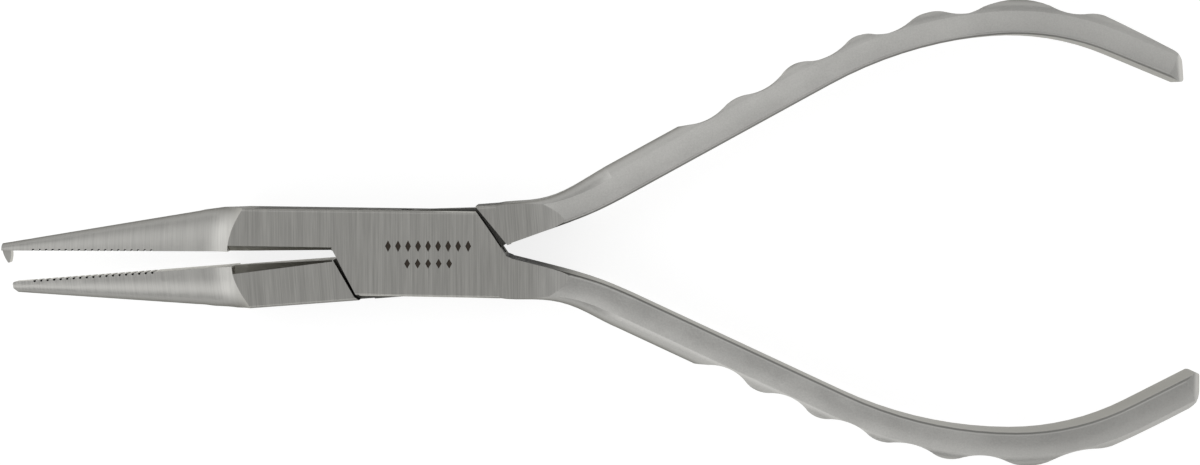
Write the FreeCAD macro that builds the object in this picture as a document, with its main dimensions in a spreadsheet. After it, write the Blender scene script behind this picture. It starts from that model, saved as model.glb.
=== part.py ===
import FreeCAD, Part
import math
import os
import Sketcher
from FreeCAD import Placement, Rotation, Vector

# Slim-nosed box-joint pliers: two forged halves turning on one flush pivot pin.
# The halves are drawn closed, meeting on the plane y = 0; the through half is then
# turned open about the pivot.  X runs from the pivot to the handles, Z is the pivot
# axis, and the origin lies on that axis at the underside of the joint.

DIMENSIONS = [
    # alias, millimetres or degrees, what it is
    ("joint_thickness", 9.0, "joint, across the two flat faces"),
    ("rest_opening", 4.24, "angle between the halves as the part is drawn"),
    ("pin_radius", 2.4, "pivot pin"),
    ("pin_running_clearance", 0.03, "radial play between the pin and the waist"),
    ("waist_thickness", 3.1, "thin middle of the through half"),
    ("waist_side_play", 0.1, "gap on each face of the waist"),
    ("waist_upper_height", 5.22, "pivot to the upper flank of the waist"),
    ("waist_lower_height", 5.47, "pivot to the lower flank of the waist"),
    ("channel_play", 0.15, "gap between the lower flank of the waist and its channel"),
    ("channel_angle", 31.0, "slope of the channel through the box half"),
    ("box_upper_height", 5.17, "pivot to the upper edge of the box half"),
    ("box_upper_heading", -0.8, "heading of that edge"),
    ("box_lower_height", 5.5, "pivot to the lower edge of the box half"),
    ("box_lower_heading", -1.1, "heading of that edge"),
    ("through_lower_height", 5.38, "pivot to the lower edge of the through half"),
    ("through_upper_height", 5.17, "pivot to the upper edge of the through half"),
    ("edge_round", 0.4, "rounding of the long outer edges of the joint"),
    ("cheek_corner_round", 0.4, "rounding of the lower corner of the cheeks"),
    ("hooked_tip_reach", 52.25, "pivot to the tip of the hooked jaw"),
    ("plain_tip_reach", 51.0, "pivot to the tip of the plain jaw"),
    ("hooked_root_reach", 27.5, "pivot to the start of the flare at the root of the hooked jaw"),
    ("plain_root_reach", 27.05, "pivot to the start of the flare at the root of the plain jaw"),
    ("flare_length", 6.5, "flare, along the jaw"),
    ("flare_overlap", 0.4, "flare, the part of it inside the joint block"),
    ("hooked_face", 0.1, "closing plane to the gripping face of the hooked jaw"),
    ("plain_face", 0.05, "closing plane to the gripping face of the plain jaw"),
    ("hooked_tip_height", 0.96, "closing plane to the back of the hooked jaw, at its tip"),
    ("plain_tip_height", 1.38, "closing plane to the back of the plain jaw, at its tip"),
    ("hooked_root_height", 5.04, "closing plane to the back of the hooked jaw, at its root"),
    ("plain_root_height", 4.8, "closing plane to the back of the plain jaw, at its root"),
    ("tip_half_width", 1.3, "jaw at its tip, half of its width"),
    ("root_half_width", 3.25, "jaw at its root, half of its width"),
    ("plain_tip_round", 0.3, "rounding of the plain tip in plan"),
    ("hook_drop", 1.45, "hook, below the closing plane"),
    ("hook_base", 1.1, "hook, along the jaw"),
    ("hook_width", 1.6, "hook, across the jaw"),
    ("groove_radius", 0.15, "grip grooves"),
    ("groove_inset", 0.08, "gripping face to the centre of a groove"),
    ("groove_pitch", 0.83, "grip grooves"),
    ("groove_count", 19, "grip grooves"),
    ("groove_reach", 48.2, "pivot to the groove nearest the tip"),
    ("hooked_relief", 0.75, "relief bevel of the hooked jaw, across the flat face at its end wall"),
    ("hooked_relief_turn", 0.9, "angle at which that bevel narrows towards the pivot"),
    ("plain_relief", 0.93, "relief bevel of the plain jaw, across the flat face at its end wall"),
    ("plain_relief_turn", 3.0, "angle at which that bevel narrows towards the pivot"),
    ("relief_steepness", 4.0, "fall of a relief bevel for each millimetre across"),
    ("relief_inset", 3.9, "start of the flare to the end wall of a relief bevel"),
    ("relief_end_reach", 10.7, "pivot to the open end of a relief bevel, in the throat"),
    ("inner_edge_break", 0.45, "rounding of the inner edges of the handles"),
    ("top_crown", 0.08, "crown of the broad faces of the handles"),
    ("end_round", 2.2, "rounding of the handle ends towards both broad faces"),
    ("mark_depth", 0.06, "etched lozenges on the front face"),
]

doc = FreeCAD.newDocument("crimping_pliers")
sheet = doc.addObject("Spreadsheet::Sheet", "Dims")
for row, (alias, value, meaning) in enumerate(DIMENSIONS, start=1):
    sheet.set("A%d" % row, meaning)
    sheet.set("B%d" % row, str(value))
    sheet.setAlias("B%d" % row, alias)
doc.recompute()


def size(alias):
    """The value of one cell of the sheet."""
    return float(sheet.get(alias))


THICKNESS = size("joint_thickness")
MIDDLE = THICKNESS / 2
FORGED_HEIGHT = 6.2    # blocks before their outer edges are trimmed
BEYOND = 60.0          # clear of the part on every side of a trimming cut
BOX_ABOVE = 1          # the box half has its jaw above the closing plane, its handle below
THROUGH_BELOW = -1     # the through half has its jaw below and its handle above


# ---------------------------------------------------------------- sketches and features

def new_body(name):
    body = doc.addObject("PartDesign::Body", name)
    body.Label = name
    return body


def new_sketch(body, name, role="XY_Plane", offset=Placement()):
    """Sketch on one of the body's own origin planes, moved by offset."""
    plane = next(item for item in body.Origin.OriginFeatures if item.Role == role)
    sketch = body.newObject("Sketcher::SketchObject", body.Name + "_" + name)
    sketch.AttachmentSupport = [(plane, "")]
    sketch.MapMode = "FlatFace"
    sketch.AttachmentOffset = offset
    return sketch


def plan_sketch(body, name, height=0.0):
    """Sketch in plan, at a height above the underside of the joint."""
    return new_sketch(body, name, offset=Placement(Vector(0, 0, height), Rotation()))


def cross_sketch(body, name, x, y=0.0, heading=0.0):
    """Sketch across the part at x: its axes run along Y and up Z, turned to face a heading in degrees."""
    turn = Rotation(Vector(0, 1, 0), heading)
    return new_sketch(body, name, "YZ_Plane", Placement(Vector(y, 0, x), turn))


def draw_open_chain(sketch, steps):
    """Lines and arcs from the first step on; the step of an arc is (way point, end point)."""
    start = Vector(*steps[0])
    for step in steps[1:]:
        if isinstance(step[0], tuple):
            end = Vector(*step[1])
            curve = Part.Arc(start, Vector(*step[0]), end)
        else:
            end = Vector(*step)
            curve = Part.LineSegment(start, end)
        sketch.addGeometry(curve, False)
        start = end


def draw_chain(sketch, steps):
    """Closed outline through the steps, from the end of the last step round to itself."""
    last = steps[-1][1] if isinstance(steps[-1][0], tuple) else steps[-1]
    draw_open_chain(sketch, [last] + steps)


def chain_sketch(body, name, steps):
    """Plan sketch of a closed chain whose first step is its start and end."""
    sketch = plan_sketch(body, name)
    draw_chain(sketch, steps[1:] + steps[:1])
    return sketch


def rounded_corner(before, corner, after, radius):
    """Steps that turn a corner of an outline on a tangent arc."""
    middle = Vector(*corner)
    back = (Vector(*before) - middle).normalize()
    ahead = (Vector(*after) - middle).normalize()
    half_angle = back.getAngle(ahead) / 2
    run = radius / math.tan(half_angle)
    bisector = (back + ahead).normalize()
    way = middle + bisector * (radius / math.sin(half_angle) - radius)
    return [tuple(middle + back * run), (tuple(way), tuple(middle + ahead * run))]


def settle(feature):
    """Recompute, and stop if the feature could not be built."""
    doc.recompute()
    if "Invalid" in feature.State or "Error" in feature.State:
        raise RuntimeError("%s failed: %s" % (feature.Name, feature.State))


def add_pad(body, sketch, name, expression):
    pad = body.newObject("PartDesign::Pad", body.Name + "_" + name)
    pad.Profile = sketch
    pad.setExpression("Length", expression)
    settle(pad)


def add_pocket(body, sketch, name, expression="", length=0.0, reverse=False):
    """Pocket of a set depth, or right through both ways when none is given."""
    before = (len(body.Shape.Faces), body.Shape.Volume)
    pocket = body.newObject("PartDesign::Pocket", body.Name + "_" + name)
    pocket.Profile = sketch
    pocket.Reversed = reverse
    if expression:
        pocket.setExpression("Length", expression)
    elif length:
        pocket.Length = length
    else:
        pocket.Length = 2 * BEYOND
        pocket.Midplane = True
    settle(pocket)
    if (len(body.Shape.Faces), body.Shape.Volume) == before:
        raise RuntimeError("%s cut nothing" % pocket.Name)
    return pocket


def add_loft(body, sections, name):
    loft = body.newObject("PartDesign::AdditiveLoft", body.Name + "_" + name)
    loft.Profile = sections[0]
    loft.Sections = sections[1:]
    settle(loft)


# ---------------------------------------------------------------- jaws

HOOK_POINT_SHARE = 0.22    # the hook's point stands this share of its base in from its back
HOOK_SUNK = 0.3            # how far the hook reaches into the jaw
HOOK_BLUNT = 0.12          # half width of the hook's point

# Growth of the section over the hollow flare at a jaw's root: (share of the flare, height, half width).
FLARE_GROWTH = [(0.0, 0.0, 0.0), (0.3, 0.32, 0.2), (0.6, 0.66, 1.25), (0.8, 1.2, 3.0), (1.0, 2.2, 6.8)]

RELIEF_CLEAR = 1.5     # a relief cut reaches this far past the gripping face
RELIEF_PROUD = 0.2     # and this far out of the flat face


def half_ellipse(body, name, x, face, height, half_width, side):
    """Half-round section across a jaw, from its gripping face to a height over the closing plane."""
    sketch = cross_sketch(body, name, x)
    centre = Vector(side * face, MIDDLE, 0)
    outer = Vector(side * height, MIDDLE, 0)
    flank = Vector(0, side * half_width, 0)
    if height - face > half_width:
        ellipse = Part.Ellipse(outer, centre + flank, centre)
        first = -math.pi / 2
    else:
        ellipse = Part.Ellipse(centre - flank, outer, centre)
        first = 0.0
    last = first + math.pi
    arc = sketch.addGeometry(Part.ArcOfEllipse(ellipse, first, last), False)
    flat = sketch.addGeometry(Part.LineSegment(ellipse.value(last), ellipse.value(first)), False)
    sketch.addConstraint(Sketcher.Constraint("Coincident", arc, 2, flat, 1))
    sketch.addConstraint(Sketcher.Constraint("Coincident", flat, 2, arc, 1))
    return sketch


def add_jaw(body, kind, side):
    """Straight taper from the tip to the root, then a hollow flare out to the joint."""
    face = size(kind + "_face")
    root = size(kind + "_root_reach")
    root_height = size(kind + "_root_height")
    root_half_width = size("root_half_width")
    tip = half_ellipse(body, "jaw_tip", -size(kind + "_tip_reach"), face, size(kind + "_tip_height"),
                       size("tip_half_width"), side)
    start = half_ellipse(body, "jaw_root", -root, face, root_height, root_half_width, side)
    add_loft(body, [tip, start], "jaw")
    flare = []
    for step, (share, height, width) in enumerate(FLARE_GROWTH):
        x = -root + share * size("flare_length")
        flare.append(half_ellipse(body, "flare_%d" % step, x, face, root_height + height,
                                  root_half_width + width, side))
    add_loft(body, flare, "flare")


def block_start(kind):
    """X of the jaw end of a joint block, just inside the flare."""
    return size("flare_length") - size("flare_overlap") - size(kind + "_root_reach")


def add_hook(body):
    """Tooth that hangs over the end of the plain jaw: sloping front, upright back, blunt point."""
    base = size("hook_base")
    drop = -size("hook_drop")
    front = -size("hooked_tip_reach")
    back = front + base
    point = back - HOOK_POINT_SHARE * base
    face = size("hooked_face")
    sunk = face + HOOK_SUNK
    front_bow = (front + 0.28 * base, 0.45 * drop, 0)
    back_bow = (back + 0.02, 0.5 * drop, 0)
    sketch = plan_sketch(body, "hook", MIDDLE - size("hook_width") / 2)
    draw_chain(sketch, [(back, sunk, 0), (front, sunk, 0),
                        (front_bow, (point - HOOK_BLUNT, drop + HOOK_BLUNT / 3, 0)),
                        ((point, drop, 0), (point + HOOK_BLUNT, drop + HOOK_BLUNT / 1.5, 0)),
                        (back_bow, (back, face, 0))])
    add_pad(body, sketch, "hook_pad", "Dims.hook_width")


def round_plain_tip(body):
    """Round both corners of the plain jaw's end in plan."""
    tip = -size("plain_tip_reach")
    radius = size("plain_tip_round")
    lower = 1.6 * radius
    height = size("plain_tip_height")
    face = -size("plain_face")
    steps = [(tip - BEYOND, 1, 0), (tip + radius, 1, 0), (tip + radius, face, 0),
             ((tip + 0.29 * radius, face - 0.29 * radius, 0), (tip, face - radius, 0)),
             (tip, lower - height, 0),
             ((tip + 0.29 * lower, 0.71 * lower - height, 0), (tip + lower, -height - 0.16 * lower, 0)),
             (tip + lower, -height - 1, 0), (tip - BEYOND, -height - 1, 0)]
    add_pocket(body, chain_sketch(body, "tip_round", steps), "tip_round_cut")


def cut_relief(body, kind, side):
    """Bevels on both flat faces that free the inner edge between jaw and joint, narrower at the joint."""
    face = side * size(kind + "_face")
    clear = face - side * RELIEF_CLEAR
    edge = face + side * size(kind + "_relief")
    steepness = size("relief_steepness")
    proud = RELIEF_PROUD
    end_wall = size("relief_inset") - size(kind + "_root_reach")
    length = "Dims.%s_root_reach - Dims.relief_inset - Dims.relief_end_reach" % kind
    for name, flat, inward in (("front", THICKNESS, -1), ("back", 0.0, 1)):
        sketch = cross_sketch(body, "relief_" + name, end_wall, heading=-side * size(kind + "_relief_turn"))
        draw_chain(sketch, [(edge + side * proud / steepness, flat - inward * proud, 0),
                            (clear, flat - inward * proud, 0),
                            (clear, flat + inward * steepness * abs(edge - clear), 0)])
        add_pocket(body, sketch, "relief_%s_cut" % name, length, reverse=True)


def cut_grooves(body, kind, side):
    """Round-bottomed grooves across a gripping face, in a row along the jaw."""
    first = Vector(-size("groove_reach"), side * (size(kind + "_face") + size("groove_inset")), 0)
    sketch = new_sketch(body, "groove", offset=Placement(first, Rotation()))
    circle = sketch.addGeometry(Part.Circle(Vector(0, 0, 0), Vector(0, 0, 1), size("groove_radius")), False)
    sketch.addConstraint(Sketcher.Constraint("Coincident", circle, 3, -1, 1))
    radius = sketch.addConstraint(Sketcher.Constraint("Radius", circle, size("groove_radius")))
    sketch.setExpression("Constraints[%d]" % radius, "Dims.groove_radius")
    groove = add_pocket(body, sketch, "groove_cut")
    row = body.newObject("PartDesign::LinearPattern", body.Name + "_grooves")
    row.Originals = [groove]
    row.Direction = (sketch, ["H_Axis"])
    row.setExpression("Length", "Dims.groove_pitch * (Dims.groove_count - 1)")
    row.setExpression("Occurrences", "Dims.groove_count")
    body.Tip = row
    settle(row)


# ---------------------------------------------------------------- handles

# The inner face of each handle: its start (x, y, heading), the bends of its root, then straight and
# curved runs, each as (length, heading change in degrees).  Widths go from the inner face to the outer
# edge: along the root, then as (distance, width) at each finger seat and crest in turn, then at the
# middle and end of the tail's curve, beyond which the outer edge runs parallel to the inner face.
# The turns say, crest by crest, which share of the way from a seat to the crest their curves meet at.
# The corners of the end are rounded by end_rounds: inner, outer.
BOX_HANDLE = {"side": -1, "start": (11.3, -0.68, -14.0), "root": [(7.15, 0), (9.0, -11.05)],
              "runs": [(29.1, 0), (22.0, 24.9), (15.2, 27.2), (14.0, 0)],
              "root_widths": [5.12, 4.5, 3.94, 4.05, 4.47, 4.64],
              "wave": [(30.6, 3.28), (35.3, 4.31), (39.2, 3.23), (43.3, 4.14), (47.3, 3.05), (51.2, 3.92),
                       (55.1, 3.12), (59.3, 4.12), (63.7, 3.07), (69.0, 4.42), (74.1, 3.21), (78.3, 3.86)],
              "turns": [0.57, 0.57, 0.57, 0.57, 0.5, 0.57],
              "tail": [(84.0, 3.72), (88.0, 3.7)], "end_x": 97.5, "end_rounds": (0.7, 3.2)}
THROUGH_HANDLE = {"side": 1, "start": (11.3, 0.26, 15.1), "root": [(8.0, 0), (7.25, 9.4)],
                  "runs": [(29.3, 0), (21.75, -24.45), (14.45, -26.8), (15.0, 0)],
                  "root_widths": [5.04, 4.34, 3.76, 3.88, 4.24, 4.45],
                  "wave": [(29.3, 3.39), (33.5, 4.05), (37.8, 3.34), (41.7, 4.3), (46.8, 3.1), (50.1, 3.96),
                           (54.2, 2.89), (58.8, 4.09), (63.2, 3.08), (69.0, 4.38), (74.8, 3.28),
                           (78.6, 4.18)],
                  "turns": [0.57, 0.57, 0.57, 0.55, 0.4, 0.5],
                  "tail": [(83.0, 3.78), (87.5, 3.38)], "end_x": 96.5, "end_rounds": (0.6, 2.8)}

# Half heights of the sections through a handle's root: at the inner face, at the crease, of the outer wall.
ROOT_HEIGHTS = [(5.0, 4.9, 4.1), (4.95, 4.8, 4.05), (4.72, 4.4, 3.2), (4.14, 3.72, 1.9),
                (3.62, 3.12, 1.0), (3.5, 2.98, 0.8)]
ROOT_CREASES = [0.4, 0.42, 0.65, 1.05, 1.42, 1.55]      # outer edge to crease, at the same sections
WAVE_ENTRY = 4.6       # before the middle of the first finger seat, where the wave cuts into the outer edge
WAVE_CLEAR = 0.3       # clear of the outer edge, where that cut begins
CREST_BOW = 0.72       # share of the last crest's rise that its curve has made halfway along
END_CLEAR = 0.01       # the end cut overlaps the sides of the handle by this much
END_BACK = 10.0        # how far back from the end its corners take their direction


def walk(runs, start, distance):
    """Point and heading (radians) a distance along straight and curved runs."""
    x, y, heading = start
    for length, turn in runs:
        run = min(length, distance)
        bend = math.radians(turn) * run / length
        if bend:
            radius = run / bend
            x += radius * (math.sin(heading + bend) - math.sin(heading))
            y -= radius * (math.cos(heading + bend) - math.cos(heading))
        else:
            x += run * math.cos(heading)
            y += run * math.sin(heading)
        heading += bend
        distance -= run
        if distance <= 0:
            break
    return x, y, heading


def along_handle(handle, distance, outward=0.0):
    """Point at a distance along the inner face and a distance outward from it, with the heading."""
    x, y, degrees = handle["start"]
    start = (x, y, math.radians(degrees))
    x, y, heading = walk(handle["root"] + handle["runs"], start, distance)
    across = heading + handle["side"] * math.pi / 2
    return x + outward * math.cos(across), y + outward * math.sin(across), heading


def handle_end(handle):
    """Point where the inner face's last run ends, with its heading."""
    return along_handle(handle, sum(length for length, turn in handle["root"] + handle["runs"]))


def handle_section(body, name, handle, distance, width, crease, heights):
    """Section across a handle: flat inner face, crowned top, crease, round shoulder, outer wall."""
    x, y, heading = along_handle(handle, distance)
    across = heading + handle["side"] * math.pi / 2
    outward = Vector(math.cos(across), math.sin(across), 0)
    up = Vector(0, 0, 1)
    turn = Rotation(outward, up, outward.cross(up), "XYZ")
    sketch = new_sketch(body, name, offset=Placement(Vector(x, y, MIDDLE), turn))
    inner, flank, wall = heights
    edge = size("inner_edge_break")
    corner = edge * (1 - math.sqrt(0.5))
    shoulder_width = width - crease
    slope = math.atan2(flank - wall, shoulder_width)
    bulge = 0.22 * shoulder_width
    shoulder_x = crease + shoulder_width / 2 + bulge * math.sin(slope)
    shoulder_z = (flank + wall) / 2 + bulge * math.cos(slope)
    top_x = (edge + crease) / 2
    top_z = (inner + flank) / 2 + size("top_crown")
    draw_chain(sketch, [(0, inner - edge, 0),
                        ((corner, inner - corner, 0), (edge, inner, 0)),
                        ((top_x, top_z, 0), (crease, flank, 0)),
                        ((shoulder_x, shoulder_z, 0), (width, wall, 0)),
                        (width, -wall, 0),
                        ((shoulder_x, -shoulder_z, 0), (crease, -flank, 0)),
                        ((top_x, -top_z, 0), (edge, -inner, 0)),
                        ((corner, corner - inner, 0), (0, edge - inner, 0))])
    return sketch


def add_handle(body, handle):
    """Lofted root that thins down from the joint, then a bar of constant section."""
    root_length = sum(length for length, turn in handle["root"])
    sections = []
    for step, width in enumerate(handle["root_widths"]):
        distance = root_length * step / (len(handle["root_widths"]) - 1)
        sections.append(handle_section(body, "root_%d" % step, handle, distance, width,
                                       width - ROOT_CREASES[step], ROOT_HEIGHTS[step]))
    add_loft(body, sections, "root")

    profile = handle_section(body, "bar_section", handle, root_length, handle["root_widths"][-1],
                             handle["root_widths"][-1] - ROOT_CREASES[-1], ROOT_HEIGHTS[-1])
    spine = plan_sketch(body, "bar_path", MIDDLE)
    distance = root_length
    steps = [along_handle(handle, distance)[:2] + (0,)]
    for length, turn in handle["runs"]:
        halfway = along_handle(handle, distance + length / 2)[:2] + (0,)
        distance += length
        end = along_handle(handle, distance)[:2] + (0,)
        steps.append((halfway, end) if turn else end)
    draw_open_chain(spine, steps)
    bar = body.newObject("PartDesign::AdditivePipe", body.Name + "_bar")
    bar.Profile = profile
    bar.Spine = spine
    settle(bar)


def edge_point(handle, distance, width):
    """Step of an outline at a distance along the handle and a width out from its inner face."""
    return along_handle(handle, distance, width)[:2] + (0,)


def cut_scallops(body, handle):
    """Wave of concave finger seats and tighter crests along the outer edge."""
    wave = handle["wave"]
    turns = []
    for index in range(len(wave) - 1):
        share = handle["turns"][index // 2]
        if index % 2:
            share = 1 - share
        (distance, width), (next_distance, next_width) = wave[index:index + 2]
        turns.append((distance + share * (next_distance - distance), (width + next_width) / 2))
    first_distance, first_width = wave[0]
    bar_width = handle["root_widths"][-1]
    entry = edge_point(handle, first_distance - WAVE_ENTRY, bar_width + WAVE_CLEAR)
    shoulder = edge_point(handle, first_distance - WAVE_ENTRY / 2, (first_width + bar_width) / 2)
    steps = [entry, shoulder]
    for knot, turn in zip(wave, turns):
        steps.append((edge_point(handle, *knot), edge_point(handle, *turn)))
    (turn_distance, turn_width), (crest_distance, crest_width) = turns[-1], wave[-1]
    rise = crest_width - turn_width
    steps.append((edge_point(handle, (turn_distance + crest_distance) / 2, turn_width + CREST_BOW * rise),
                  edge_point(handle, *wave[-1])))
    steps.append((edge_point(handle, *handle["tail"][0]), edge_point(handle, *handle["tail"][1])))
    end_x, end_y = steps[-1][1][:2]
    heading = handle_end(handle)[2]
    far_x = end_x + BEYOND * math.cos(heading)
    far_y = handle["side"] * BEYOND
    steps += [(far_x, end_y + BEYOND * math.sin(heading), 0), (far_x, far_y, 0), (entry[0], far_y, 0)]
    add_pocket(body, chain_sketch(body, "scallops", steps), "scallops_cut")


def cut_handle_end(body, handle):
    """End cut across the pliers' length, with both corners rounded."""
    side = handle["side"]
    end_x = handle["end_x"]
    end_point_x, end_point_y, heading = handle_end(handle)
    rake = math.tan(heading)
    clear = side * END_CLEAR
    width = handle["tail"][1][1] / math.cos(heading)
    inner = end_point_y + (end_x - end_point_x) * rake - clear
    outer = inner + side * width + 2 * clear
    back_x = end_x - END_BACK
    fall = END_BACK * rake
    inner_corner = (end_x, inner, 0)
    outer_corner = (end_x, outer, 0)
    inner_round, outer_round = handle["end_rounds"]
    steps = rounded_corner((back_x, inner - fall, 0), inner_corner, outer_corner, inner_round)
    steps += rounded_corner(inner_corner, outer_corner, (back_x, outer - fall, 0), outer_round)
    start_x = steps[0][0]
    last_x = steps[-1][1][0]
    inside = inner - side * BEYOND
    outside = outer + side * BEYOND
    steps += [(last_x, outside, 0), (end_x + BEYOND, outside, 0), (end_x + BEYOND, inside, 0),
              (start_x, inside, 0)]
    add_pocket(body, chain_sketch(body, "end", steps), "end_cut")


def round_handle_end(body, handle):
    """Round the end of a handle over towards both broad faces."""
    end_x = handle["end_x"]
    radius = size("end_round")
    corner = radius * (1 - math.sqrt(0.5))
    start_x = end_x - radius
    far_x = end_x + BEYOND
    high = MIDDLE + ROOT_HEIGHTS[-1][0]
    low = MIDDLE - ROOT_HEIGHTS[-1][0]
    sketch = new_sketch(body, "end_round", "XZ_Plane")
    draw_chain(sketch, [(start_x, high, 0),
                        ((end_x - corner, high - corner, 0), (end_x, high - radius, 0)),
                        (end_x, low + radius, 0),
                        ((end_x - corner, low + corner, 0), (start_x, low, 0)),
                        (start_x, low - BEYOND, 0), (far_x, low - BEYOND, 0), (far_x, high + BEYOND, 0),
                        (start_x, high + BEYOND, 0)])
    add_pocket(body, sketch, "end_round_cut")


# ---------------------------------------------------------------- joint

def trim_faces(body, name):
    """Take everything above and below the two flat faces of the joint away."""
    sketch = new_sketch(body, name, "XZ_Plane")
    reach = 2 * BEYOND
    for low, high in ((THICKNESS, THICKNESS + BEYOND), (-BEYOND, 0.0)):
        draw_chain(sketch, [(reach, low, 0), (reach, high, 0), (-reach, high, 0), (-reach, low, 0)])
    add_pocket(body, sketch, name + "_cut")


def trim_edge(body, name, side, half_height, stretch, heading=0.0):
    """Cut a stretch of an outer edge of the joint, half_height away at the pivot, with rounded corners."""
    x_from, x_to = stretch
    radius = size("edge_round")
    corner = radius * (1 - math.sqrt(0.5))
    flat = side * (half_height - radius)
    wall = side * half_height
    far = side * BEYOND
    sketch = cross_sketch(body, name, x_from, x_from * math.tan(math.radians(heading)), heading)
    draw_chain(sketch, [(flat, THICKNESS, 0),
                        ((wall - side * corner, THICKNESS - corner, 0), (wall, THICKNESS - radius, 0)),
                        (wall, radius, 0),
                        ((wall - side * corner, corner, 0), (flat, 0, 0)),
                        (flat, -BEYOND, 0), (far, -BEYOND, 0), (far, THICKNESS + BEYOND, 0),
                        (flat, THICKNESS + BEYOND, 0)])
    add_pocket(body, sketch, name + "_cut", length=x_to - x_from, reverse=True)


def cut_bore(body, expression):
    sketch = plan_sketch(body, "bore")
    circle = sketch.addGeometry(Part.Circle(Vector(0, 0, 0), Vector(0, 0, 1), size("pin_radius")), False)
    sketch.addConstraint(Sketcher.Constraint("Coincident", circle, 3, -1, 1))
    radius = sketch.addConstraint(Sketcher.Constraint("Radius", circle, size("pin_radius")))
    sketch.setExpression("Constraints[%d]" % radius, expression)
    add_pocket(body, sketch, "bore_cut")


def strip_points(half_width, reach):
    """Corners of a strip through the pivot at the slope of the channel."""
    angle = math.radians(size("channel_angle"))
    along = Vector(math.cos(angle), math.sin(angle), 0) * reach
    across = Vector(-math.sin(angle), math.cos(angle), 0) * half_width
    corners = [along + across, across - along, -along - across, along - across]
    return [(corner.x, corner.y, 0) for corner in corners]


def cut_channel(body):
    """Straight channel through the box half, which the waist of the through half turns in."""
    height = size("waist_thickness") + 2 * size("waist_side_play")
    sketch = plan_sketch(body, "channel", MIDDLE - height / 2)
    draw_chain(sketch, strip_points(size("waist_lower_height") + size("channel_play"), CHANNEL_REACH))
    add_pocket(body, sketch, "channel_cut", "Dims.waist_thickness + 2 * Dims.waist_side_play", reverse=True)


def cut_marks(body):
    """Two rows of shallow etched lozenges on the front face of the joint."""
    sketch = plan_sketch(body, "marks", THICKNESS)
    for count, middle_x, middle_y, pitch, half_width, half_height in MARK_ROWS:
        for index in range(count):
            x = middle_x + (index - (count - 1) / 2) * pitch
            draw_chain(sketch, [(x - half_width, middle_y, 0), (x, middle_y - half_height, 0),
                                (x + half_width, middle_y, 0), (x, middle_y + half_height, 0)])
    add_pocket(body, sketch, "marks_cut", "Dims.mark_depth")


# ---------------------------------------------------------------- the three pieces

# Rows of marks: count, middle x, middle y, pitch, half width, half height.
MARK_ROWS = [(9, 1.27, 0.8, 1.24, 0.36, 0.72), (5, 1.27, -1.37, 1.3, 0.36, 0.62)]

# Corners of the joint in plan, closed.  The cheeks of the box half end on a slant towards the jaws and
# on a broken line towards the handles; the blocks of the through half stand just clear of both.
CHEEK_TOP = (-10.57, 0.25, 0)
CHEEK_CORNER = (-7.6, -5.5, 0)
CHEEK_FOOT = (-7.0, -5.5, 0)
CHEEK_BACK = [(10.1, -FORGED_HEIGHT, 0), (10.2, -5.2, 0), (11.6, -0.7, 0), (10.95, -0.45, 0), (8.9, 2.65, 0),
              (6.9, 5.5, 0), (6.7, FORGED_HEIGHT, 0)]
JAW_BLOCK_BACK = [(-7.3, -FORGED_HEIGHT, 0), (-7.75, -5.38, 0), (-8.31, -4.9, 0), (-10.58, -0.17, 0)]
HANDLE_BLOCK = [(11.12, 0.1, 0), (11.6, 0.23, 0), (10.3, 4.8, 0), (10.2, FORGED_HEIGHT, 0),
                (6.8, FORGED_HEIGHT, 0)]
WAIST_REACH = 11.2         # pivot to each end of the waist, inside the blocks
WAIST_TOP = (9.0, 4.8)     # where the upper edge of the waist ends, inside the handle block
CHANNEL_REACH = 16.0       # pivot to each end of the channel cut, clear of the cheeks

# Stretches of the long outer edges that are trimmed straight: from x, to x.
BOX_UPPER_EDGE = (-25.0, 8.0)
BOX_LOWER_EDGE = (-9.0, 10.3)
THROUGH_LOWER_EDGE = (-25.0, -6.0)
THROUGH_UPPER_EDGE = (6.0, 10.4)


def make_box_half():
    """Hooked jaw above, two cheeks round the channel, handle below."""
    body = new_body("box_half")
    face = size("hooked_face")
    start = block_start("hooked")
    block = plan_sketch(body, "block")
    draw_chain(block, [(start, face, 0), CHEEK_TOP]
               + rounded_corner(CHEEK_TOP, CHEEK_CORNER, CHEEK_FOOT, size("cheek_corner_round"))
               + [CHEEK_FOOT, (CHEEK_FOOT[0], -FORGED_HEIGHT, 0)] + CHEEK_BACK + [(start, FORGED_HEIGHT, 0)])
    add_pad(body, block, "block_pad", "Dims.joint_thickness")
    add_jaw(body, "hooked", BOX_ABOVE)
    add_hook(body)
    trim_faces(body, "jaw_faces")
    trim_edge(body, "jaw_edge", 1, size("box_upper_height"), BOX_UPPER_EDGE, size("box_upper_heading"))
    trim_edge(body, "lower_edge", -1, size("box_lower_height"), BOX_LOWER_EDGE, size("box_lower_heading"))
    add_handle(body, BOX_HANDLE)
    cut_scallops(body, BOX_HANDLE)
    cut_handle_end(body, BOX_HANDLE)
    round_handle_end(body, BOX_HANDLE)
    trim_faces(body, "handle_faces")
    cut_relief(body, "hooked", BOX_ABOVE)
    cut_channel(body)
    cut_marks(body)
    cut_bore(body, "Dims.pin_radius")
    cut_grooves(body, "hooked", BOX_ABOVE)
    return body


def waist_flank(height):
    """Height of one flank of the waist, the arc round the pivot that ends it, and the end of its slant."""
    angle = math.radians(size("channel_angle"))
    slant = math.pi / 2 + angle
    way, end = ((height * math.cos(turn), height * math.sin(turn), 0) for turn in (slant - angle / 2, slant))
    reach = math.copysign(WAIST_REACH, height)
    return height, (way, end), (-reach, (height - reach * math.sin(angle)) / math.cos(angle), 0)


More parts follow.
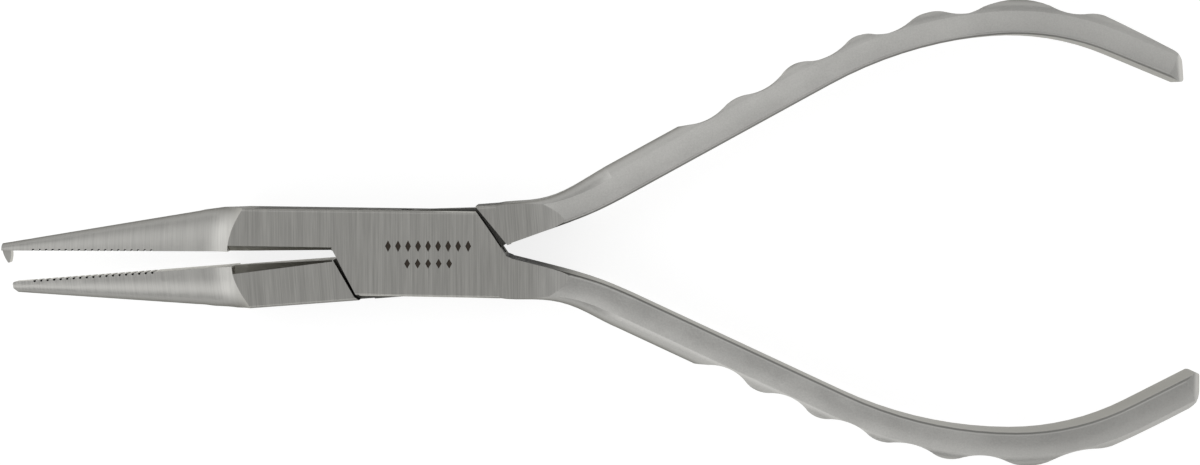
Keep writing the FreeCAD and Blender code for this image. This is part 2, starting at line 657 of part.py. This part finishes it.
def make_through_half():
    """Plain jaw below, thin waist through the channel, handle above; turned open about the pivot."""
    body = new_body("through_half")
    upper, upper_arc, upper_end = waist_flank(size("waist_upper_height"))
    lower, lower_arc, lower_end = waist_flank(-size("waist_lower_height"))
    waist = plan_sketch(body, "waist", MIDDLE - size("waist_thickness") / 2)
    top_x, top_y = WAIST_TOP
    draw_chain(waist, [(top_x, top_y, 0), (0, upper, 0), upper_arc, upper_end,
                       (-WAIST_REACH, lower, 0), (0, lower, 0), lower_arc, lower_end,
                       (WAIST_REACH, top_y, 0)])
    add_pad(body, waist, "waist_pad", "Dims.waist_thickness")
    start = block_start("plain")
    jaw_block = plan_sketch(body, "jaw_block")
    draw_chain(jaw_block, [(start, -size("plain_face"), 0), (start, -FORGED_HEIGHT, 0)] + JAW_BLOCK_BACK)
    add_pad(body, jaw_block, "jaw_block_pad", "Dims.joint_thickness")
    handle_block = plan_sketch(body, "handle_block")
    draw_chain(handle_block, HANDLE_BLOCK)
    add_pad(body, handle_block, "handle_block_pad", "Dims.joint_thickness")
    add_jaw(body, "plain", THROUGH_BELOW)
    round_plain_tip(body)
    trim_faces(body, "jaw_faces")
    trim_edge(body, "jaw_edge", -1, size("through_lower_height"), THROUGH_LOWER_EDGE)
    trim_edge(body, "upper_edge", 1, size("through_upper_height"), THROUGH_UPPER_EDGE)
    add_handle(body, THROUGH_HANDLE)
    cut_scallops(body, THROUGH_HANDLE)
    cut_handle_end(body, THROUGH_HANDLE)
    round_handle_end(body, THROUGH_HANDLE)
    trim_faces(body, "handle_faces")
    cut_relief(body, "plain", THROUGH_BELOW)
    cut_bore(body, "Dims.pin_radius + Dims.pin_running_clearance")
    cut_grooves(body, "plain", THROUGH_BELOW)
    body.Placement = Placement(Vector(0, 0, 0), Rotation(Vector(0, 0, 1), size("rest_opening")))
    body.setExpression(".Placement.Rotation.Angle", "Dims.rest_opening")
    return body


def make_pivot_pin():
    """Pin pressed into both cheeks and ground flush with them, so it carries its share of the marks."""
    body = new_body("pivot_pin")
    sketch = plan_sketch(body, "section")
    circle = sketch.addGeometry(Part.Circle(Vector(0, 0, 0), Vector(0, 0, 1), size("pin_radius")), False)
    sketch.addConstraint(Sketcher.Constraint("Coincident", circle, 3, -1, 1))
    radius = sketch.addConstraint(Sketcher.Constraint("Radius", circle, size("pin_radius")))
    sketch.setExpression("Constraints[%d]" % radius, "Dims.pin_radius")
    add_pad(body, sketch, "length", "Dims.joint_thickness")
    cut_marks(body)
    return body


pieces = [make_box_half(), make_through_half(), make_pivot_pin()]
doc.recompute()

for item in doc.Objects:
    if "Invalid" in item.State or "Error" in item.State:
        raise RuntimeError("%s failed: %s" % (item.Name, item.State))
for piece in pieces:
    shape = piece.Shape
    if shape.isNull() or not shape.isValid() or len(shape.Solids) != 1:
        raise RuntimeError("%s is not one valid solid" % piece.Label)

os.makedirs("parts", exist_ok=True)
for piece in pieces:
    piece.Shape.exportStep("parts/%s.step" % piece.Label)
    print("%-14s %8.1f cubic mm" % (piece.Label, piece.Shape.Volume))
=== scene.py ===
import math

import bpy
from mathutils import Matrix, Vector


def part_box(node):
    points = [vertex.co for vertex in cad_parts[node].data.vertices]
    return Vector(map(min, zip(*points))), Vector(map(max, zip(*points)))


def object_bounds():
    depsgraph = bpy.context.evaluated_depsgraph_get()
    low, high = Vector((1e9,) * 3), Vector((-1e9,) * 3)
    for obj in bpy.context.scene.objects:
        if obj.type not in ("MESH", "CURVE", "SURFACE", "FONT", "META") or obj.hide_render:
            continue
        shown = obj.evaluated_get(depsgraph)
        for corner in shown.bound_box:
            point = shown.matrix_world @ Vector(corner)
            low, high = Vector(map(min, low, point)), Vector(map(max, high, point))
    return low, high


# Slim-nosed box-joint pliers in stainless steel, seen from above on a white table.
# Coordinates are the record's own: X runs to the handle ends, Z is the pivot axis, metres.

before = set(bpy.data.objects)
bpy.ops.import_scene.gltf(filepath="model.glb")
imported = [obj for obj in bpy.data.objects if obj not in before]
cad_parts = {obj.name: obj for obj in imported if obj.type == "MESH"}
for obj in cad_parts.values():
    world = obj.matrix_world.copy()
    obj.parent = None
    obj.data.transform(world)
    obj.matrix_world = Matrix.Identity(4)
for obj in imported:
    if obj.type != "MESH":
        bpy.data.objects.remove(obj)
bpy.context.view_layer.update()
cad_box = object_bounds()

MM = 0.001
FLOOR_HEIGHT = cad_box[0].z
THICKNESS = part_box("pivot_pin")[1].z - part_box("pivot_pin")[0].z      # the joint, between its flat faces
HALF_THICKNESS_MM = THICKNESS / MM / 2
REST_OPENING = math.radians(4.24)      # how far the through half is turned open at rest


# ---------------------------------------------------------------- camera

CAMERA_DISTANCE = 0.364                 # above the middle of the joint's thickness
CAMERA_PLACE = (0.02255, 0.01889)       # what it stands over
AIM_POINT = (0.02255, 0.00229)          # what it looks at
FRAME_WIDTH = 0.15036                   # width of the picture at the aim point
SENSOR_WIDTH = 36.0


def add_camera():
    """Looks down from a little to the upper handle's side, so that the lower one shows its inner wall."""
    data = bpy.data.cameras.new("camera")
    camera = bpy.data.objects.new("camera", data)
    bpy.context.scene.collection.objects.link(camera)
    aim = Vector((*AIM_POINT, THICKNESS / 2))
    stand = Vector((*CAMERA_PLACE, THICKNESS / 2 + CAMERA_DISTANCE))
    camera.location = stand
    camera.rotation_euler = (math.atan2(aim.y - stand.y, CAMERA_DISTANCE), 0, 0)
    data.sensor_width = SENSOR_WIDTH
    data.lens = SENSOR_WIDTH * (aim - stand).length / FRAME_WIDTH
    data.dof.use_dof = False
    data.clip_start = 0.01
    data.clip_end = 20.0
    bpy.context.scene.camera = camera


# ---------------------------------------------------------------- node helpers

class Nodes:
    """Short calls for building a node tree."""

    def __init__(self, tree):
        self.tree = tree
        tree.nodes.clear()

    def add(self, kind, **settings):
        node = self.tree.nodes.new(kind)
        for name, value in settings.items():
            setattr(node, name, value)
        return node

    def feed(self, socket, value):
        """Link a socket, or set it when the value is a plain number or colour."""
        if isinstance(value, bpy.types.NodeSocket):
            self.tree.links.new(value, socket)
        else:
            socket.default_value = value

    def math(self, operation, first, second=0.0, third=0.0):
        node = self.add("ShaderNodeMath", operation=operation)
        for socket, value in zip(node.inputs, (first, second, third)):
            self.feed(socket, value)
        return node.outputs[0]

    def ramp(self, value, start, end, low=0.0, high=1.0):
        """Smooth step of value from low to high as it goes from start to end."""
        node = self.add("ShaderNodeMapRange", interpolation_type="SMOOTHSTEP")
        for name, number in (("Value", value), ("From Min", start), ("From Max", end),
                             ("To Min", low), ("To Max", high)):
            self.feed(node.inputs[name], number)
        return node.outputs["Result"]

    def rise(self, value, edge):
        """Mask that goes from 0 to 1 over an edge, given as its start and end."""
        return self.ramp(value, *edge)

    def fall(self, value, edge):
        """Mask that goes from 1 to 0 over an edge."""
        return self.ramp(value, *edge, 1.0, 0.0)

    def band(self, value, edges):
        """Mask of what lies between a first and a last edge."""
        first, last = edges
        return self.both(self.rise(value, first), self.fall(value, last))

    def both(self, first, *others):
        """Product of masks."""
        for other in others:
            first = self.math("MULTIPLY", first, other)
        return first

    def outside(self, mask):
        """Mask of everything that another mask leaves out."""
        return self.math("SUBTRACT", 1.0, mask)

    def mix(self, share, first, second, kind="RGBA"):
        node = self.add("ShaderNodeMix", data_type=kind)
        self.feed(node.inputs["Factor"], share)
        self.feed(node.inputs["A"], first)
        self.feed(node.inputs["B"], second)
        return node.outputs["Result"]

    def split(self, vector):
        node = self.add("ShaderNodeSeparateXYZ")
        self.feed(node.inputs[0], vector)
        return node.outputs

    def noise(self, vector, fineness, detail=2.0, roughness=0.5):
        """Noise with its own fineness along each axis, in features to the millimetre."""
        mapping = self.add("ShaderNodeMapping")
        self.feed(mapping.inputs["Vector"], vector)
        mapping.inputs["Scale"].default_value = fineness
        node = self.add("ShaderNodeTexNoise", noise_dimensions="3D")
        self.feed(node.inputs["Vector"], mapping.outputs[0])
        node.inputs["Scale"].default_value = 1.0
        node.inputs["Detail"].default_value = detail
        node.inputs["Roughness"].default_value = roughness
        return node.outputs["Fac"]


# ---------------------------------------------------------------- steel

# Edges of the zones of a half, in millimetres from the pivot along the pliers, each as where it starts
# and where it ends. The half is taken to be closed, with its jaw at +Y and its handle at -Y.
JAW_EDGE = (-21.6, -21.2)
HANDLE_EDGE = (12.0, 15.0)
FLAT_EDGE = (13.0, 17.0)                              # past it the ground flats show by half
# Where the handle is painted darker towards its end.
END_DARKENING_EDGE = (55.0, 85.0)
CROSSING = (0.0, 10.0)                                # where the outer side changes from +Y to -Y
MARKED_BAND = ((-8.0, -7.5), (9.5, 10.0))
# The relief, sheltered, throat and groove bands bound where shade is painted.
RELIEF_BAND = ((-24.5, -24.0), (-10.0, -9.0))
SHELTERED_BAND = ((-21.0, -20.0), (10.5, 12.0))
THROAT_BAND = ((10.5, 11.0), (15.0, 23.0))
GROOVE_BAND = ((-48.8, -48.6), (-33.1, -32.9))
GROOVE_HEIGHT = ((0.11, 0.13), (0.34, 0.38))          # from the closing plane

# The same for the depth under a flat face, in millimetres.
GROUND_DEPTH = (0.015, 0.03)
ETCHED_DEPTH = ((0.03, 0.045), (0.075, 0.09))
SHELTERED_DEPTH = (0.4, 0.6)

# The same for how squarely a surface faces a direction, from 0 for side on to 1 for square.
LEVEL = (0.9, 0.95)
WALL = (0.5, 0.8)
TURNED = (0.3, 0.6)
BROKEN_EDGE = (0.25, 0.5)
SHOULDER = (0.25, 0.95)

# Finishes: darkest and lightest grey of the pattern, and warmth. The flats' greys are lower partly for their
# ground finish and partly as painted shade, standing in for the dim room overhead that the flat faces mirror.
FLATS = (0.36, 0.5, 0.055)
JAWS = (0.46, 0.58, 0.045)
HANDLES = (0.52, 0.66, 0.04)
PATTERN_CONTRAST = (0.25, 0.75)
ROUGHNESS = (0.3, 0.42)                               # at the two ends of the pattern
BUMP_STRENGTH = 0.25
BUMP_HEIGHT = 0.01 * MM
ETCHED_COLOUR = (0.03, 0.021, 0.014, 1.0)
ETCHED_LOSS = 0.9                                     # of the metallic look

# Zones of painted shade, darker than their finish where shade falls: zone, share of the darker grey, that
# grey.
PAINTED_SHADE = (("outer_side", 0.6, 0.16), ("inner_wall", 0.35, 0.2), ("inner_edge", 0.7, 0.12),
          ("relief", 0.15, 0.25), ("sheltered", 0.75, 0.06), ("throat", 0.85, 0.05),
          ("grooves", 0.95, 0.02))

# The same for the end of the handle, which is painted darker towards its end by a share that differs between
# the halves.
BOX_END_DARKENING = 0.28
THROUGH_END_DARKENING = 0.1
END_DARKENING_GREY = 0.3

# Greys of grazing reflections, out in the open and in the darkened zones, where the reflection is dimmed as
# painted shade.
LIT_TINT = 0.8
SHADED_TINT = 0.05


def grey(value, warmth=0.055):
    """Grey that loses a little blue: the tint of bare steel."""
    return (value * (1 + warmth / 4), value, value * (1 - warmth), 1.0)


def find_zones(nodes, here, normal, side):
    """Masks for the parts of a half, from where a point of its surface is and which way it faces. Several of
    them mark where shade is painted.
    """
    x, y, z = nodes.split(here)
    facing_y, facing_z = nodes.split(normal)[1:]
    level = nodes.math("ABSOLUTE", nodes.math("SUBTRACT", z, HALF_THICKNESS_MM))
    depth = nodes.math("SUBTRACT", HALF_THICKNESS_MM, level)
    facing_up = nodes.math("ABSOLUTE", facing_z)
    facing_gap = nodes.math("MULTIPLY", facing_y, -side)
    outward = nodes.math("MULTIPLY", facing_y, nodes.ramp(x, *CROSSING, side, -side))
    inward = nodes.math("MULTIPLY", outward, -1.0)
    handle = nodes.rise(x, HANDLE_EDGE)
    relief = nodes.both(nodes.rise(facing_gap, TURNED), nodes.band(x, RELIEF_BAND))
    ground = nodes.fall(depth, GROUND_DEPTH)
    return {
        "handle": handle,
        "jaw": nodes.fall(x, JAW_EDGE),
        "tumbled": nodes.both(handle, nodes.outside(ground)),
        "flat": nodes.both(ground, nodes.ramp(x, *FLAT_EDGE, 1.0, 0.5)),
        "darker_end": nodes.rise(x, END_DARKENING_EDGE),
        "etched": nodes.both(nodes.band(depth, ETCHED_DEPTH), nodes.rise(facing_up, LEVEL),
                             nodes.band(x, MARKED_BAND)),
        # Where shade is painted: the outer sides, inner walls and inner edges, the relief bevel, the
        # sheltered walls in the joint, the throat and the grooves.
        "outer_side": nodes.rise(outward, SHOULDER),
        "inner_wall": nodes.both(handle, nodes.rise(inward, WALL)),
        "inner_edge": nodes.both(handle, nodes.rise(inward, BROKEN_EDGE), nodes.rise(facing_up, BROKEN_EDGE)),
        "relief": relief,
        "sheltered": nodes.both(nodes.band(x, SHELTERED_BAND), nodes.rise(depth, SHELTERED_DEPTH),
                                nodes.outside(relief)),
        "throat": nodes.both(nodes.band(x, THROAT_BAND), nodes.rise(inward, TURNED)),
        "grooves": nodes.both(nodes.band(x, GROOVE_BAND), nodes.band(y, GROOVE_HEIGHT),
                              nodes.fall(facing_up, TURNED)),
    }


def surface_pattern(nodes, here, tumbled):
    """Fine lines across the ground and satin surfaces, and specks and blotches where it is tumbled."""
    lines = nodes.noise(here, fineness=(7.0, 0.12, 0.12), detail=3.0, roughness=0.65)
    broad_lines = nodes.noise(here, fineness=(2.0, 0.06, 0.06))
    blotches = nodes.noise(here, fineness=(0.12, 0.16, 0.16))
    specks = nodes.noise(here, fineness=(5.0, 5.0, 5.0), detail=3.0, roughness=0.6)
    brushing = nodes.math("ADD", nodes.math("MULTIPLY", lines, 0.75),
                          nodes.math("MULTIPLY", broad_lines, 0.25))
    tumbling = nodes.math("ADD", nodes.math("MULTIPLY", specks, 0.5),
                          nodes.math("MULTIPLY", blotches, 0.5))
    pattern = nodes.mix(tumbled, brushing, tumbling, kind="FLOAT")
    return nodes.rise(pattern, PATTERN_CONTRAST)


def finish(nodes, pattern, darkest, lightest, warmth):
    """Colour that follows the pattern from a darkest to a lightest grey."""
    return nodes.mix(pattern, grey(darkest, warmth), grey(lightest, warmth))


def steel_colour(nodes, zones, pattern, end_darkening):
    """Colour of a half, and how far each place is painted darker: in its zones of painted shade and towards
    the handle end.
    """
    # The flats' darker greys are partly painted shade.
    flats = finish(nodes, pattern, *FLATS)
    colour = nodes.mix(zones["handle"], flats, finish(nodes, pattern, *HANDLES))
    colour = nodes.mix(zones["jaw"], colour, finish(nodes, pattern, *JAWS))
    colour = nodes.mix(zones["flat"], colour, flats)
    shade = 0.0
    # Paint the zones of shade darker, and the handle darker towards its end.
    for zone, share, tone in PAINTED_SHADE + (("darker_end", end_darkening, END_DARKENING_GREY),):
        mask = nodes.math("MULTIPLY", zones[zone], share)
        colour = nodes.mix(mask, colour, grey(tone))
        shade = nodes.math("MAXIMUM", shade, mask)
    return nodes.mix(zones["etched"], colour, ETCHED_COLOUR), shade


def steel(name, side, opening, end_darkening):
    """Steel of one half: ground flats, satin jaw, tumbled handle, dark etched marks, and painted shade in its
    darker zones.
    side is +1 for the half whose jaw is at +Y, opening is how far it is turned at rest,
    and the last argument is the share by which its handle is painted darker towards the end."""
    material = bpy.data.materials.new(name)
    material.use_nodes = True
    nodes = Nodes(material.node_tree)
    coordinates = nodes.add("ShaderNodeTexCoord")
    closed = nodes.add("ShaderNodeMapping", vector_type="TEXTURE")
    nodes.feed(closed.inputs["Vector"], coordinates.outputs["Object"])
    closed.inputs["Rotation"].default_value = (0, 0, opening)
    closed.inputs["Scale"].default_value = (MM, MM * side, MM)
    here = closed.outputs[0]        # in millimetres, turned closed and with the jaw at +Y

    zones = find_zones(nodes, here, coordinates.outputs["Normal"], side)
    pattern = surface_pattern(nodes, here, zones["tumbled"])
    colour, shade = steel_colour(nodes, zones, pattern, end_darkening)
    bump = nodes.add("ShaderNodeBump")
    bump.inputs["Strength"].default_value = BUMP_STRENGTH
    bump.inputs["Distance"].default_value = BUMP_HEIGHT
    nodes.feed(bump.inputs["Height"], pattern)

    shader = nodes.add("ShaderNodeBsdfPrincipled")
    nodes.feed(shader.inputs["Base Color"], colour)
    # Grazing reflections painted dim where shade is painted.
    nodes.feed(shader.inputs["Specular Tint"], nodes.mix(shade, grey(LIT_TINT), grey(SHADED_TINT)))
    etching = nodes.math("MULTIPLY", zones["etched"], ETCHED_LOSS)
    nodes.feed(shader.inputs["Metallic"], nodes.outside(etching))
    nodes.feed(shader.inputs["Roughness"], nodes.ramp(pattern, 0.0, 1.0, *ROUGHNESS))
    nodes.feed(shader.inputs["Normal"], bump.outputs[0])
    output = nodes.add("ShaderNodeOutputMaterial")
    nodes.feed(output.inputs["Surface"], shader.outputs[0])
    return material


def paint(node, material):
    """Give a CAD node its material, in every slot it has."""
    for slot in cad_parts[node].material_slots:
        slot.material = material


# ---------------------------------------------------------------- table and light

TABLE_REACH = 3.0           # from the pivot to each edge
TABLE_GREY = 0.35
TABLE_GLOW = 0.82

# Edges of the room's brighter and darker parts, as components of a direction: +Y is behind the pliers.
BEHIND = ((0.05, 0.45), (0.75, 0.95))
FRONT = (-0.05, -0.35)
LOW_FRONT = (-0.4, -0.75)
FRONT_HORIZON = (-0.98, -0.85)
LEFT = (-0.02, -0.3)
LOW_LEFT = (-0.35, -0.8)

# Strength of the room's light, and what each of those parts adds to it.
ROOM_LIGHT = 0.52
BEHIND_LIGHT = 0.16
FRONT_LIGHT = -0.15
LOW_FRONT_LIGHT = 0.65
LEFT_LIGHT = 0.1
LOW_LEFT_LIGHT = 0.5


def matt_white():
    """Matt white with a glow that keeps it white under the soft light."""
    material = bpy.data.materials.new("table_white")
    material.use_nodes = True
    shader = material.node_tree.nodes["Principled BSDF"]
    shader.inputs["Base Color"].default_value = (TABLE_GREY, TABLE_GREY, TABLE_GREY, 1.0)
    shader.inputs["Roughness"].default_value = 0.9
    shader.inputs["Specular IOR Level"].default_value = 0.1
    shader.inputs["Emission Color"].default_value = (1.0, 1.0, 1.0, 1.0)
    shader.inputs["Emission Strength"].default_value = TABLE_GLOW
    return material


def add_table():
    """White table top under the pliers."""
    mesh = bpy.data.meshes.new("table")
    corners = [(-TABLE_REACH, -TABLE_REACH, 0), (TABLE_REACH, -TABLE_REACH, 0),
               (TABLE_REACH, TABLE_REACH, 0), (-TABLE_REACH, TABLE_REACH, 0)]
    mesh.from_pydata(corners, [], [(0, 1, 2, 3)])
    table = bpy.data.objects.new("table", mesh)
    bpy.context.scene.collection.objects.link(table)
    table.location.z = FLOOR_HEIGHT
    mesh.materials.append(matt_white())


def add_light():
    """A pale room, a little brighter behind than in front, with broad soft lights low in front and left."""
    world = bpy.data.worlds.new("studio")
    bpy.context.scene.world = world
    world.use_nodes = True
    nodes = Nodes(world.node_tree)
    x, y = nodes.split(nodes.add("ShaderNodeTexCoord").outputs["Generated"])[:2]
    low_front = nodes.both(nodes.rise(y, LOW_FRONT), nodes.rise(y, FRONT_HORIZON))
    strength = ROOM_LIGHT
    for place, added in ((nodes.band(y, BEHIND), BEHIND_LIGHT), (nodes.rise(y, FRONT), FRONT_LIGHT),
                         (low_front, LOW_FRONT_LIGHT), (nodes.rise(x, LEFT), LEFT_LIGHT),
                         (nodes.rise(x, LOW_LEFT), LOW_LEFT_LIGHT)):
        strength = nodes.math("MULTIPLY_ADD", place, added, strength)
    background = nodes.add("ShaderNodeBackground")
    background.inputs["Color"].default_value = (1.0, 1.0, 1.0, 1.0)
    nodes.feed(background.inputs["Strength"], strength)
    output = nodes.add("ShaderNodeOutputWorld")
    nodes.feed(output.inputs["Surface"], background.outputs[0])


bpy.context.scene.view_settings.view_transform = "Standard"
add_camera()
add_table()
add_light()
box_steel = steel("box_half_steel", 1, 0.0, BOX_END_DARKENING)
paint("box_half", box_steel)
paint("pivot_pin", box_steel)
paint("through_half", steel("through_half_steel", -1, REST_OPENING, THROUGH_END_DARKENING))

bpy.context.view_layer.update()
